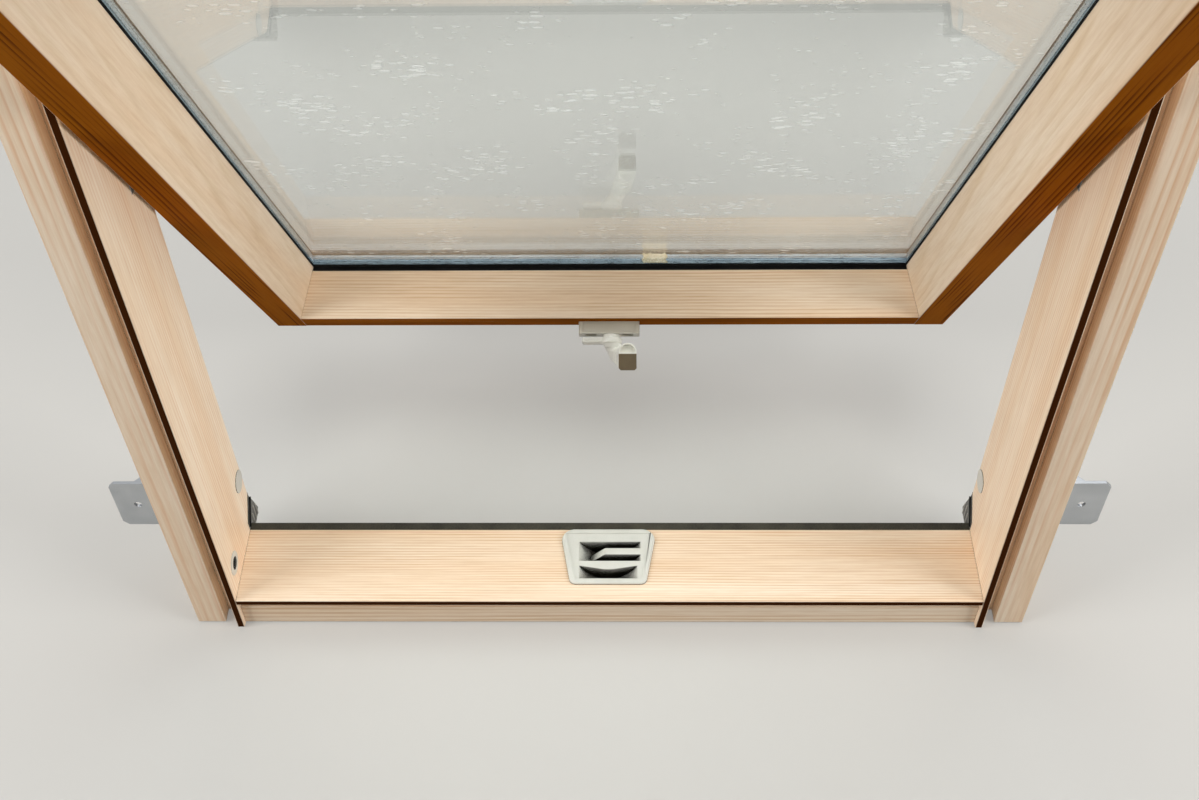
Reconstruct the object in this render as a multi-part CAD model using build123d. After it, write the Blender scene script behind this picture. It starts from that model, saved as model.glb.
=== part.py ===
from build123d import *
import os
from math import sqrt

os.makedirs("parts", exist_ok=True)

# A centre-pivot roof window: a fixed timber frame and a glazed timber sash that turns about
# two hinges at half height. It stands here as if its roof slope were upright: +X is right as
# seen from the room, +Y is outward through the glass, +Z is up the slope.
# The origin is the centre of the four fixing holes, on the underside of the brackets' flanges.
# Depths are measured outward from the frame's room-side face. All sizes are in millimetres.

# Frame
FRAME_WIDTH = 780.0
FRAME_HEIGHT = 980.0
ROOM_DEPTH = 40.0
JAMB_WIDTH = 45.0
JAMB_STAND = 21.0
RAIL_HEIGHT = 44.0
SASH_LAP = 14.0
LIP_WIDTH = 6.8
GROOVE_WIDTH = 12.0
GROOVE_DEPTH = 20.0
BACK_STEP = 6.0
FRAME_ROUND = 1.2
SILL_CUT_LOW = 11.0
TOP_CUT_GAP = 2.0

# Weather parts of the frame
SHEET = 1.2
STRIP_DEPTH = 9.0
STRIP_WIDTH = 14.0
STRIP_BASE = 3.0
STRIP_LIP = 4.0
SILL_LEG = 30.0
COVER_SET_BACK = 2.0
COVER_LEG = 18.0
HOOD_HEIGHT = 31.0
HOOD_STEP = 16.0
HOOD_SET_BACK = 3.0
HOOD_LAND = 2.0
HOOD_LEG = 30.0
CORNER_SEAL = 4.5
CORNER_SHOULDER = 8.0
CORNER_CREST = 14.0
CORNER_TAIL = 6.0

# Fixing brackets
BRACKET_SHEET = 3.0
BRACKET_LENGTH = 60.0
BRACKET_FLANGE = 50.0
BRACKET_GAP = 6.0
BRACKET_INSET = 140.0
HOLE_RADIUS = 3.5
HOLE_REACH = 30.0
SCREW_HEAD_RADIUS = 5.0
SCREW_HEAD_HEIGHT = 2.6
BRACKET_SCREW_PITCH = 34.0
GUSSET = 24.0

# Sash
SASH_FACE_DEPTH = 67.0
SASH_DEPTH = 70.0
SIDE_GAP = 3.5
BOTTOM_GAP = 3.5
TOP_GAP = 6.0
MEMBER_FACE = 30.5
SPLAY = 14.0
GLASS_SEAT = 50.5
SASH_ROUND = 1.5
OPEN_ANGLE = 31.0

# Glazing
PANE = 4.0
CAVITY = 10.5
GLASS_COVER = 14.0
EDGE_GAP = 3.0
EDGE_SEAL = 5.5
SPACER_WIDTH = 7.5
SPACER_WALL = 1.0
GASKET = 2.0
GASKET_NOSE = 0.8
SILL_GASKET = 6.0
BLOCK_LENGTH = 90.0
BLOCK_INSET = 109.5

# Sash cladding and its seal to the frame
CLADDING_LIFT = 4.0
CLADDING_LIP = 4.5
CLADDING_LEG = 24.0
DRIP_REACH = 9.5
DRIP_TURN = 8.0
SEAL_INSET = 18.5
SEAL_WIDTH = 4.0
SEAL_PROUD = 2.5
SEAL_HINGE_GAP = 2.0

# Pivot hinges
PIVOT_INSET = 18.0
HINGE_PLATE = 4.0
HINGE_PROUD = 0.5
HINGE_WIDTH = 30.0
HINGE_LENGTH = 110.0
HINGE_TAIL = 12.0
PIN_RADIUS = 6.0
PIN_CLEARANCE = 0.06
PIN_LENGTH = 11.0
SLEEVE_RADIUS = 9.0
BOSS_RADIUS = 12.0
BOSS_HEIGHT = 1.0
WASHER_RADIUS = 13.0
WASHER_GAP = 0.2

# Cleaning bolt
SOCKET_DEPTH = 24.5
SOCKET_RISE = 26.5
SOCKET_BORE = 6.3
SOCKET_RADIUS = 8.0
SOCKET_LENGTH = 14.0
SOCKET_FLOOR = 2.0
FLANGE_RADIUS = 11.5
FLANGE_THICKNESS = 2.0
FLANGE_PROUD = 0.6
RIM_BEVEL = 0.5
BOLT_INSET = 12.1
BOLT_RADIUS = 5.0
BOLT_CLEARANCE = 0.06
BOLT_LENGTH = 70.0
BOLT_TRAVEL = 14.0
BOLT_SET_BACK = 1.0
KNOB_INSET = 28.0
STEM_RADIUS = 3.0
STEM_CLEARANCE = 0.2
KNOB_RADIUS = 7.0
KNOB_HEIGHT = 9.0
KNOB_BEVEL = 1.5
KNOB_GAP = 0.5
GUIDE_WIDTH = 18.0
GUIDE_END = 8.0
GUIDE_SHEET = 2.0

# Caps over the frame's screws
CAP_RADIUS = 11.0
CAP_PROUD = 0.6
CAP_THICKNESS = 1.5
CAP_STEM = 5.0
CAP_STEM_LENGTH = 8.0
CAP_INSET = 11.5
CAP_RISE = 64.0

# Latch keep
KEEP_OUTER = 32.5
KEEP_INNER = 29.3
KEEP_TOP_HALF = 46.3
KEEP_BOTTOM_HALF = 35.3
KEEP_TOP_ROUND = 12.0
KEEP_BOTTOM_ROUND = 6.0
KEEP_CLEARANCE = 0.9
KEEP_BEVEL = 1.0
KEEP_RIM = 5.0
KEEP_RECESS = 1.0
KEEP_BODY_INSET = 6.5
KEEP_BODY_DEPTH = 25.0
SLOT_HEIGHT = 7.5
TONGUE_HEIGHT = 7.0
TONGUE_START = -2.0
TONGUE_RAMP = 13.0
SLOT_OFFSET = 1.5
LUG_CLEARANCE = 1.6
POCKET_WIDTH = 14.6
POCKET_LAND = 8.8
POCKET_DIP = 4.2
POCKET_HALF = 28.0
POCKET_FLOOR = 15.7

# Handle
BASE_HALF = 30.8
BASE_LOW = 1.5
BASE_HIGH = 17.5
BASE_HEIGHT = 12.5
BASE_RIM = 3.6
BASE_RECESS = 1.6
BASE_STEP = 1.4
BASE_BEVEL = 1.2
BASE_SCREW_OFFSET = 18.5
BASE_POCKET_LENGTH = 13.0
BASE_POCKET_WIDTH = 9.6
BASE_POCKET_DEPTH = 7.0
HANDLE_SCREW_RADIUS = 2.0
HANDLE_SCREW_HEAD = 4.0
HANDLE_SCREW_HEAD_HEIGHT = 2.5
HANDLE_SCREW_LENGTH = 22.0
HUB_OFFSET = 2.5
HUB_RISE = 10.0
HUB_RADIUS = 8.6
HUB_GAP = 0.3
HUB_CROWN = 4.0
KNUCKLE_RADIUS = 10.6
KNUCKLE_CLEARANCE = 0.4
KNUCKLE_SLOPE = 0.9
LUG_STAND = 19.0
LUG_RADIUS = 30.0
LUG_WIDTH = 8.0
LUG_THICKNESS = 6.5
LUG_BEVEL = 2.2
ARM_ROOT_BITE = 2.0
ELBOW_SIDE = 8.0
ELBOW_RISE = 2.0
ELBOW_STAND = 33.0
ELBOW_HEIGHT = 18.0
ELBOW_TURN = 45.0
WAIST_SIDE = 13.5
WAIST_RISE = 16.0
WAIST_STAND = 37.6
WAIST_HEIGHT = 22.0
GRIP_WIDTH = 17.4
GRIP_HEIGHT = 27.7
GRIP_REACH = 44.5
GRIP_SIDE = 16.2
GRIP_STAND = 44.0
GRIP_CHAMFER = 2.0
GRIP_CAP_HEIGHT = 16.6
GRIP_CAP_THICKNESS = 2.0
GRIP_RIM = 1.4
GRIP_HOLLOW = 5.0
SPINDLE_RADIUS = 4.0
SPINDLE_LENGTH = 9.0
SPINDLE_CLEARANCE = 0.06

# How far a cutter runs past the face that it cuts
SPARE = 1.0

# Places that follow from the sizes above
HALF_WIDTH = FRAME_WIDTH / 2
HALF_HEIGHT = FRAME_HEIGHT / 2
HALF_OPENING = HALF_WIDTH - JAMB_WIDTH
HALF_CLEAR = HALF_HEIGHT - RAIL_HEIGHT
RAIL_DEPTH = SASH_FACE_DEPTH + SASH_LAP
JAMB_DEPTH = RAIL_DEPTH + JAMB_STAND
BRACKET_LEG = JAMB_DEPTH - COVER_LEG - BRACKET_GAP - ROOM_DEPTH
HOLE_X = HALF_WIDTH + HOLE_REACH
BRACKET_Z = HALF_HEIGHT - BRACKET_INSET
SASH_SIDE = HALF_OPENING - SIDE_GAP
SASH_BOTTOM = -HALF_CLEAR + BOTTOM_GAP
SASH_TOP = HALF_CLEAR - TOP_GAP
SEAT_DEPTH = SASH_FACE_DEPTH + GLASS_SEAT
GLASS_SIDE = SASH_SIDE - MEMBER_FACE - SPLAY
GLASS_BOTTOM = SASH_BOTTOM + MEMBER_FACE + SPLAY
GLASS_TOP = SASH_TOP - MEMBER_FACE - SPLAY
UNIT_SIDE = GLASS_SIDE + GLASS_COVER
UNIT_BOTTOM = GLASS_BOTTOM - GLASS_COVER
UNIT_TOP = GLASS_TOP + GLASS_COVER
PANE_DEPTH = SEAT_DEPTH + GASKET
UNIT_DEPTH = PANE + CAVITY + PANE
UNIT_OUTER = PANE_DEPTH + UNIT_DEPTH
SASH_OUTER = SASH_FACE_DEPTH + SASH_DEPTH
PIVOT_DEPTH = SASH_FACE_DEPTH + PIVOT_INSET
SEAL_DEPTH = SASH_FACE_DEPTH + SEAL_INSET
CAP_DEPTH = JAMB_DEPTH - CAP_INSET
SLOT_DEPTH = SASH_FACE_DEPTH - LUG_STAND
KEEP_TOP = SLOT_DEPTH + KEEP_OUTER
KEEP_BOTTOM = SLOT_DEPTH - KEEP_INNER
POCKET_HIGH = SLOT_DEPTH - POCKET_LAND
POCKET_LOW = POCKET_HIGH - POCKET_WIDTH
BLOCK_OFFSET = UNIT_SIDE - BLOCK_INSET
HUB_STAND = BASE_HEIGHT + HUB_GAP
BASE_MIDDLE = (BASE_LOW + BASE_HIGH) / 2
KNUCKLE_LOW = LUG_STAND - SLOT_HEIGHT / 2 + KNUCKLE_CLEARANCE
KNUCKLE_HIGH = LUG_STAND + SLOT_HEIGHT / 2 - KNUCKLE_CLEARANCE
KEEP_PROUD = BOTTOM_GAP - KEEP_CLEARANCE
POCKET_DROP = KEEP_PROUD + POCKET_FLOOR
POCKET_RADIUS = (POCKET_HALF**2 + POCKET_DROP**2) / (2 * POCKET_DROP)


def at(depth):
    # The Y of a depth from the frame's room-side face
    return depth - ROOM_DEPTH


# With the sash turned right over for cleaning, the bolt meets its lower socket: both lie at
# the same distance from the pivot
drop = HALF_CLEAR - SOCKET_RISE
inward = PIVOT_DEPTH - SOCKET_DEPTH
BOLT_DEPTH = SASH_FACE_DEPTH + BOLT_INSET
BOLT_RISE = sqrt(drop**2 + inward**2 - (PIVOT_DEPTH - BOLT_DEPTH) ** 2)


def softened(section, corners, radius):
    picked = [section.vertices().sort_by_distance(corner)[0] for corner in corners]
    return fillet(picked, radius)


def along_x(section, x0, x1):
    return extrude(Plane.YZ.offset(x0) * section, amount=x1 - x0, dir=(1, 0, 0))


def along_z(section, z0, z1):
    return extrude(Plane.XY.offset(z0) * section, amount=z1 - z0, dir=(0, 0, 1))


def outline(*points):
    return Polygon(*points, align=None)


def block(x0, x1, y0, y1, z0, z1):
    middle = Pos((x0 + x1) / 2, (y0 + y1) / 2, (z0 + z1) / 2)
    return middle * Box(x1 - x0, y1 - y0, z1 - z0)


def rod_x(radius, x0, x1, y, z):
    return along_x(Pos(y, z) * Circle(radius), x0, x1)


def rod_y(radius, y0, y1, x, z):
    return Plane.XZ.offset(-y1) * extrude(Pos(x, z) * Circle(radius), amount=y1 - y0)


def left_of(part):
    return mirror(part, about=Plane.YZ)


def jamb_section():
    lip = HALF_OPENING + LIP_WIDTH
    wall = lip + GROOVE_WIDTH
    section = outline(
        (HALF_OPENING, at(0)),
        (lip, at(0)),
        (lip, at(GROOVE_DEPTH)),
        (wall, at(GROOVE_DEPTH)),
        (wall, at(BACK_STEP)),
        (HALF_WIDTH, at(BACK_STEP)),
        (HALF_WIDTH, at(JAMB_DEPTH)),
        (HALF_OPENING, at(JAMB_DEPTH)),
    )
    corners = [(HALF_OPENING, at(0)), (lip, at(0)), (HALF_OPENING, at(JAMB_DEPTH))]
    return softened(section, corners, FRAME_ROUND)


def jamb_ends():
    # Both ends lose their outer part, down to the rails' depth: on a slope at the bottom
    edge = at(RAIL_DEPTH)
    past = at(JAMB_DEPTH) + SPARE
    low = -HALF_CLEAR + SILL_CUT_LOW
    high = HALF_CLEAR + TOP_CUT_GAP
    foot = outline(
        (edge, -HALF_HEIGHT - SPARE),
        (past, -HALF_HEIGHT - SPARE),
        (past, low + past - edge),
        (edge, low),
    )
    head = outline(
        (edge, high), (past, high), (past, HALF_HEIGHT + SPARE), (edge, HALF_HEIGHT + SPARE)
    )
    x0 = HALF_OPENING - SPARE
    x1 = HALF_WIDTH + SPARE
    return along_x(foot, x0, x1) + along_x(head, x0, x1)


def screw_cap():
    y = at(CAP_DEPTH)
    z = -HALF_CLEAR + CAP_RISE
    face = HALF_OPENING - CAP_PROUD
    disc = rod_x(CAP_RADIUS, face, face + CAP_THICKNESS, y, z)
    stem = rod_x(CAP_STEM, face + CAP_THICKNESS, face + CAP_THICKNESS + CAP_STEM_LENGTH, y, z)
    return disc + stem


def cap_seat():
    y = at(CAP_DEPTH)
    z = -HALF_CLEAR + CAP_RISE
    floor = HALF_OPENING - CAP_PROUD + CAP_THICKNESS
    disc = rod_x(CAP_RADIUS, HALF_OPENING - SPARE, floor, y, z)
    return disc + rod_x(CAP_STEM, floor, floor + CAP_STEM_LENGTH, y, z)


def hinge_plate(x0, low):
    y = at(PIVOT_DEPTH)
    half = HINGE_WIDTH / 2
    return block(x0, x0 + HINGE_PLATE, y - half, y + half, low, low + HINGE_LENGTH)


def frame_hinge_plate():
    # It reaches up from the pivot, so that the open sash hides it from the room
    return hinge_plate(HALF_OPENING - HINGE_PROUD, -HINGE_TAIL)


def frame_hinge():
    y = at(PIVOT_DEPTH)
    face = HALF_OPENING - HINGE_PROUD
    body = frame_hinge_plate()
    body += rod_x(BOSS_RADIUS, face - BOSS_HEIGHT, face, y, 0)
    body += rod_x(PIN_RADIUS, SASH_SIDE - PIN_LENGTH, face - BOSS_HEIGHT, y, 0)
    return body


def hinge_washer():
    y = at(PIVOT_DEPTH)
    x0 = SASH_SIDE + HINGE_PROUD + WASHER_GAP
    x1 = HALF_OPENING - HINGE_PROUD - BOSS_HEIGHT
    return rod_x(WASHER_RADIUS, x0, x1, y, 0) - rod_x(PIN_RADIUS, x0, x1, y, 0)


def sash_hinge_body():
    y = at(PIVOT_DEPTH)
    back = SASH_SIDE + HINGE_PROUD - HINGE_PLATE
    sleeve = rod_x(SLEEVE_RADIUS, SASH_SIDE - PIN_LENGTH - HINGE_PLATE / 2, back, y, 0)
    return hinge_plate(back, -HINGE_LENGTH / 2) + sleeve


def sash_hinge():
    y = at(PIVOT_DEPTH)
    end = SASH_SIDE - PIN_LENGTH - HINGE_PROUD
    bore = rod_x(PIN_RADIUS + PIN_CLEARANCE, end, SASH_SIDE + SPARE, y, 0)
    return sash_hinge_body() - bore


def jamb():
    body = along_z(jamb_section(), -HALF_HEIGHT, HALF_HEIGHT) - jamb_ends()
    return body - frame_hinge_plate() - cap_seat()


def socket_body(depth, z):
    y = at(depth)
    face = -HALF_OPENING + FLANGE_PROUD
    back = face - FLANGE_THICKNESS
    flange = rod_x(FLANGE_RADIUS, back, face, y, z)
    return flange + rod_x(SOCKET_RADIUS, -HALF_OPENING - SOCKET_LENGTH, back, y, z)


def bolt_socket(depth, z):
    y = at(depth)
    body = socket_body(depth, z)
    rim = body.edges().group_by(Axis.X)[-1]
    body = chamfer(rim, RIM_BEVEL)
    floor = -HALF_OPENING - SOCKET_LENGTH + SOCKET_FLOOR
    return body - rod_x(SOCKET_BORE, floor, -HALF_OPENING + SPARE, y, z)


def left_jamb():
    lower = socket_body(SOCKET_DEPTH, -HALF_CLEAR + SOCKET_RISE)
    upper = socket_body(BOLT_DEPTH, BOLT_RISE)
    return left_of(jamb()) - lower - upper


def plain_rail():
    face = -HALF_CLEAR
    lip = face - LIP_WIDTH
    wall = lip - GROOVE_WIDTH
    section = outline(
        (at(0), face),
        (at(0), lip),
        (at(GROOVE_DEPTH), lip),
        (at(GROOVE_DEPTH), wall),
        (at(BACK_STEP), wall),
        (at(BACK_STEP), -HALF_HEIGHT),
        (at(RAIL_DEPTH), -HALF_HEIGHT),
        (at(RAIL_DEPTH), face),
    )
    section = softened(section, [(at(0), face), (at(0), lip)], FRAME_ROUND)
    return along_x(section, -HALF_OPENING, HALF_OPENING)


def keep_outline(inset):
    low = KEEP_BOTTOM + inset
    high = KEEP_TOP - inset
    lean = (KEEP_TOP_HALF - KEEP_BOTTOM_HALF) / (KEEP_TOP - KEEP_BOTTOM)
    wide = KEEP_TOP_HALF - inset * (1 + lean)
    narrow = KEEP_BOTTOM_HALF - inset * (1 - lean)
    return outline(
        (-narrow, at(low)), (narrow, at(low)), (wide, at(high)), (-wide, at(high))
    )


def keep_body():
    return along_z(keep_outline(KEEP_BODY_INSET), -HALF_CLEAR - KEEP_BODY_DEPTH, -HALF_CLEAR)


def keep_plate():
    section = keep_outline(0)
    corners = section.vertices().sort_by(Axis.Y)
    section = fillet(corners[:2], KEEP_BOTTOM_ROUND)
    corners = section.vertices().sort_by(Axis.Y)
    section = fillet(corners[-2:], KEEP_TOP_ROUND)
    top = -HALF_CLEAR + KEEP_PROUD
    plate = along_z(section, -HALF_CLEAR, top)
    plate = chamfer(plate.faces().sort_by(Axis.Z)[-1].edges(), KEEP_BEVEL)
    return plate - along_z(keep_outline(KEEP_RIM), top - KEEP_RECESS, top + SPARE)


def keep_cut(depth0, depth1, radius, x, z):
    # A pocket whose floor is an arc about an axis that runs outward
    return rod_y(radius, at(depth0), at(depth1), x, z)


def keep_slots():
    # The lug swings in from the left, below the tongue when shut and above it when vented
    low = SLOT_DEPTH - SLOT_HEIGHT / 2
    under = low + SLOT_HEIGHT
    over = under + TONGUE_HEIGHT
    high = over + SLOT_HEIGHT
    axis = SASH_BOTTOM + HUB_RISE
    pocket = keep_cut(low, high, LUG_RADIUS + LUG_CLEARANCE, SLOT_OFFSET, axis)
    face = -HALF_CLEAR + KEEP_PROUD
    reach = LUG_RADIUS + TONGUE_RAMP * 2
    tongue = outline(
        (TONGUE_START, face),
        (TONGUE_START - reach, face - reach),
        (reach, face - reach),
        (reach, face),
    )
    tongue = Plane.XZ.offset(-at(over)) * extrude(tongue, amount=over - under)
    return pocket - tongue


def keep_lower_pocket():
    # The land above it dips in the middle
    axis = POCKET_RADIUS - POCKET_FLOOR - HALF_CLEAR
    pocket = keep_cut(POCKET_LOW, POCKET_HIGH, POCKET_RADIUS, 0, axis)
    wide = POCKET_HALF
    dip = outline(
        (-wide, at(POCKET_HIGH) + SPARE),
        (-wide, at(POCKET_HIGH)),
        (-POCKET_DIP, at(POCKET_HIGH - POCKET_DIP)),
        (POCKET_DIP, at(POCKET_HIGH - POCKET_DIP)),
        (wide, at(POCKET_HIGH)),
        (wide, at(POCKET_HIGH) + SPARE),
    )
    return pocket - along_z(dip, -HALF_CLEAR - POCKET_RADIUS, -HALF_CLEAR + POCKET_RADIUS)


def latch_keep():
    return keep_plate() + keep_body() - keep_slots() - keep_lower_pocket()


def bottom_rail():
    return plain_rail() - keep_body()


def top_rail():
    return mirror(plain_rail(), about=Plane.XY)


def sill_strip():
    face = -HALF_CLEAR
    edge = at(RAIL_DEPTH)
    section = outline(
        (edge, face),
        (edge, face - STRIP_WIDTH),
        (edge + STRIP_BASE, face - STRIP_WIDTH),
        (edge + STRIP_BASE, face - STRIP_LIP),
        (edge + STRIP_DEPTH, face - STRIP_LIP),
        (edge + STRIP_DEPTH, face),
    )
    tip = [(edge + STRIP_DEPTH, face - STRIP_LIP), (edge + STRIP_DEPTH, face)]
    return along_x(softened(section, tip, SHEET), -HALF_OPENING, HALF_OPENING)


def sill_cladding():
    edge = at(RAIL_DEPTH)
    inner = -HALF_CLEAR - STRIP_WIDTH
    section = outline(
        (edge, inner),
        (edge, -HALF_HEIGHT),
        (edge - SILL_LEG, -HALF_HEIGHT),
        (edge - SILL_LEG, -HALF_HEIGHT - SHEET),
        (edge + SHEET, -HALF_HEIGHT - SHEET),
        (edge + SHEET, inner - SHEET),
        (edge + STRIP_BASE, inner - SHEET),
        (edge + STRIP_BASE, inner),
    )
    return along_x(section, -HALF_WIDTH - SHEET, HALF_WIDTH + SHEET)


def side_cover():
    edge = at(JAMB_DEPTH)
    inner = HALF_OPENING + COVER_SET_BACK
    section = outline(
        (inner, edge),
        (HALF_WIDTH, edge),
        (HALF_WIDTH, edge - COVER_LEG),
        (HALF_WIDTH + SHEET, edge - COVER_LEG),
        (HALF_WIDTH + SHEET, edge + SHEET),
        (inner, edge + SHEET),
    )
    low = -HALF_CLEAR + SILL_CUT_LOW + JAMB_DEPTH - RAIL_DEPTH
    return along_z(section, low, HALF_CLEAR + TOP_CUT_GAP)


def top_hood():
    edge = at(RAIL_DEPTH)
    front = HALF_CLEAR + HOOD_SET_BACK
    crest = edge + HOOD_HEIGHT
    step = edge + HOOD_STEP
    outer = outline(
        (edge, front),
        (step, front + HOOD_STEP),
        (crest, HALF_HEIGHT - HOOD_LAND),
        (crest, HALF_HEIGHT + SHEET),
        (edge - HOOD_LEG, HALF_HEIGHT + SHEET),
        (edge - HOOD_LEG, HALF_HEIGHT),
        (edge, HALF_HEIGHT),
    )
    inside = outline(
        (edge - SPARE, front + HOOD_LAND),
        (edge, front + HOOD_LAND),
        (step - SHEET, front + HOOD_STEP + SHEET / 2),
        (crest - SHEET, HALF_HEIGHT - HOOD_LAND),
        (crest - SHEET, HALF_HEIGHT),
        (edge - SPARE, HALF_HEIGHT),
    )
    body = along_x(outer, -HALF_WIDTH - SHEET, HALF_WIDTH + SHEET)
    return body - along_x(inside, -HALF_WIDTH, HALF_WIDTH)


def corner_seal():
    edge = at(RAIL_DEPTH)
    rise = JAMB_DEPTH - RAIL_DEPTH
    low = -HALF_CLEAR + SILL_CUT_LOW
    section = outline(
        (edge, low),
        (edge, low - CORNER_SEAL),
        (edge + rise, low + rise - CORNER_SEAL),
        (edge + rise, low + rise),
    )
    return along_x(section, HALF_OPENING, HALF_WIDTH)


def corner_tab():
    edge = at(RAIL_DEPTH)
    rise = JAMB_DEPTH - RAIL_DEPTH
    low = -HALF_CLEAR + SILL_CUT_LOW - CORNER_SEAL
    foot = -HALF_CLEAR - STRIP_WIDTH
    section = outline(
        (edge, low),
        (edge, foot),
        (edge + rise + CORNER_TAIL, foot),
        (edge + rise + CORNER_CREST, foot + CORNER_SHOULDER / 2),
        (edge + rise + CORNER_SHOULDER, low),
        (edge + rise, low + rise),
    )
    return along_x(section, HALF_OPENING, HALF_WIDTH)


def bracket(z):
    # An angle on the jamb's outer side, held by two six-sided screw heads, with one fixing hole
    half = BRACKET_LENGTH / 2
    inner = HALF_WIDTH + BRACKET_SHEET
    outer = HALF_WIDTH + BRACKET_FLANGE
    flange = block(HALF_WIDTH, outer, 0, BRACKET_SHEET, z - half, z + half)
    flange = chamfer(flange.edges().filter_by(Axis.Y).group_by(Axis.X)[-1], SCREW_HEAD_RADIUS)
    body = flange + block(HALF_WIDTH, inner, 0, BRACKET_LEG, z - half, z + half)
    web = outline(
        (inner, BRACKET_SHEET), (inner + GUSSET, BRACKET_SHEET), (inner, BRACKET_SHEET + GUSSET)
    )
    for side in (-1, 1):
        middle = z + side * (half - BRACKET_SHEET / 2)
        body += along_z(web, middle - BRACKET_SHEET / 2, middle + BRACKET_SHEET / 2)
        screw_z = z + side * BRACKET_SCREW_PITCH / 2
        screw_y = (BRACKET_SHEET + BRACKET_LEG) / 2
        head = Pos(screw_y, screw_z) * RegularPolygon(SCREW_HEAD_RADIUS, 6)
        body += along_x(head, inner, inner + SCREW_HEAD_HEIGHT)
    return body - rod_y(HOLE_RADIUS, -SPARE, BRACKET_SHEET + SPARE, HOLE_X, z)


def stile_section():
    inner = SASH_SIDE - MEMBER_FACE
    wall = UNIT_SIDE + EDGE_GAP
    return outline(
        (inner, at(SASH_FACE_DEPTH)),
        (SASH_SIDE, at(SASH_FACE_DEPTH)),
        (SASH_SIDE, at(SASH_OUTER)),
        (wall, at(SASH_OUTER)),
        (wall, at(SEAT_DEPTH)),
        (GLASS_SIDE, at(SEAT_DEPTH)),
    )


def stile():
    inner = SASH_SIDE - MEMBER_FACE
    corners = [(inner, at(SASH_FACE_DEPTH)), (SASH_SIDE, at(SASH_FACE_DEPTH))]
    section = softened(stile_section(), corners, SASH_ROUND)
    return along_z(section, SASH_BOTTOM, SASH_TOP)


def bolt_space():
    # The bolt's bore runs through the left stile into the top rail, its slot opens to the room
    y = at(BOLT_DEPTH)
    x0 = -SASH_SIDE - SPARE
    x1 = -SASH_SIDE + BOLT_SET_BACK + BOLT_LENGTH + SPARE
    bore = rod_x(BOLT_RADIUS + BOLT_CLEARANCE, x0, x1, y, BOLT_RISE)
    return bore + bolt_slot(at(SASH_FACE_DEPTH) - SPARE, y)


def bolt_slot(y0, y1):
    half = STEM_RADIUS + STEM_CLEARANCE
    x1 = -SASH_SIDE + KNOB_INSET
    x0 = x1 - BOLT_TRAVEL
    slot = block(x0, x1, y0, y1, BOLT_RISE - half, BOLT_RISE + half)
    return slot + rod_y(half, y0, y1, x0, BOLT_RISE) + rod_y(half, y0, y1, x1, BOLT_RISE)


def right_stile():
    return stile() - sash_hinge_body()


def left_stile():
    return left_of(right_stile()) - bolt_space()


def rail_between(section):
    # A rail's ends are scribed to the stiles' splayed inner sides
    ends = along_z(stile_section(), SASH_BOTTOM - SPARE, SASH_TOP + SPARE)
    return along_x(section, -SASH_SIDE, SASH_SIDE) - ends - left_of(ends)


def sash_bottom_rail():
    face = SASH_BOTTOM + MEMBER_FACE
    ledge = SEAT_DEPTH - SILL_GASKET + GASKET
    ledge_z = GLASS_BOTTOM - SPLAY * (SEAT_DEPTH - ledge) / GLASS_SEAT
    wall = UNIT_BOTTOM - EDGE_GAP
    section = outline(
        (at(SASH_FACE_DEPTH), SASH_BOTTOM),
        (at(SASH_OUTER), SASH_BOTTOM),
        (at(SASH_OUTER), wall),
        (at(ledge), wall),
        (at(ledge), ledge_z),
        (at(SASH_FACE_DEPTH), face),
    )
    corners = [(at(SASH_FACE_DEPTH), SASH_BOTTOM), (at(SASH_FACE_DEPTH), face)]
    body = rail_between(softened(section, corners, SASH_ROUND))
    low = BASE_HEIGHT - BASE_POCKET_DEPTH - HANDLE_SCREW_LENGTH
    for side in (-1, 1):
        body -= on_sash(screw_shank(side, low, SPARE))
    return body


def sash_top_rail():
    face = SASH_TOP - MEMBER_FACE
    wall = UNIT_TOP + EDGE_GAP
    section = outline(
        (at(SASH_FACE_DEPTH), SASH_TOP),
        (at(SASH_FACE_DEPTH), face),
        (at(SEAT_DEPTH), GLASS_TOP),
        (at(SEAT_DEPTH), wall),
        (at(SASH_OUTER), wall),
        (at(SASH_OUTER), SASH_TOP),
    )
    corners = [(at(SASH_FACE_DEPTH), SASH_TOP), (at(SASH_FACE_DEPTH), face)]
    return rail_between(softened(section, corners, SASH_ROUND)) - bolt_space()


def sheet_of_glass(depth):
    return block(-UNIT_SIDE, UNIT_SIDE, at(depth), at(depth + PANE), UNIT_BOTTOM, UNIT_TOP)


def ring(inset, width, depth0, depth1):
    # A rectangular ring, measured inward from the glass unit's edge
    x1 = UNIT_SIDE - inset
    z0 = UNIT_BOTTOM + inset
    z1 = UNIT_TOP - inset
    outer = block(-x1, x1, at(depth0), at(depth1), z0, z1)
    x2 = x1 - width
    return outer - block(-x2, x2, at(depth0), at(depth1), z0 + width, z1 - width)


def glass_spacer():
    depth0 = PANE_DEPTH + PANE
    depth1 = depth0 + CAVITY
    hollow = ring(
        EDGE_SEAL + SPACER_WALL,
        SPACER_WIDTH - 2 * SPACER_WALL,
        depth0 + SPACER_WALL,
        depth1 - SPACER_WALL,
    )
    return ring(EDGE_SEAL, SPACER_WIDTH, depth0, depth1) - hollow


def edge_seal():
    depth0 = PANE_DEPTH + PANE
    return ring(0, EDGE_SEAL, depth0, depth0 + CAVITY)


def glazing_gasket():
    width = GLASS_COVER + GASKET_NOSE
    body = ring(0, width, SEAT_DEPTH, PANE_DEPTH)
    ledge = SEAT_DEPTH - SILL_GASKET + GASKET
    z1 = UNIT_BOTTOM + GLASS_COVER - SPLAY * (SEAT_DEPTH - ledge) / GLASS_SEAT
    x1 = GLASS_SIDE
    return body + block(-x1, x1, at(ledge), at(SEAT_DEPTH), UNIT_BOTTOM, z1)


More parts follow.
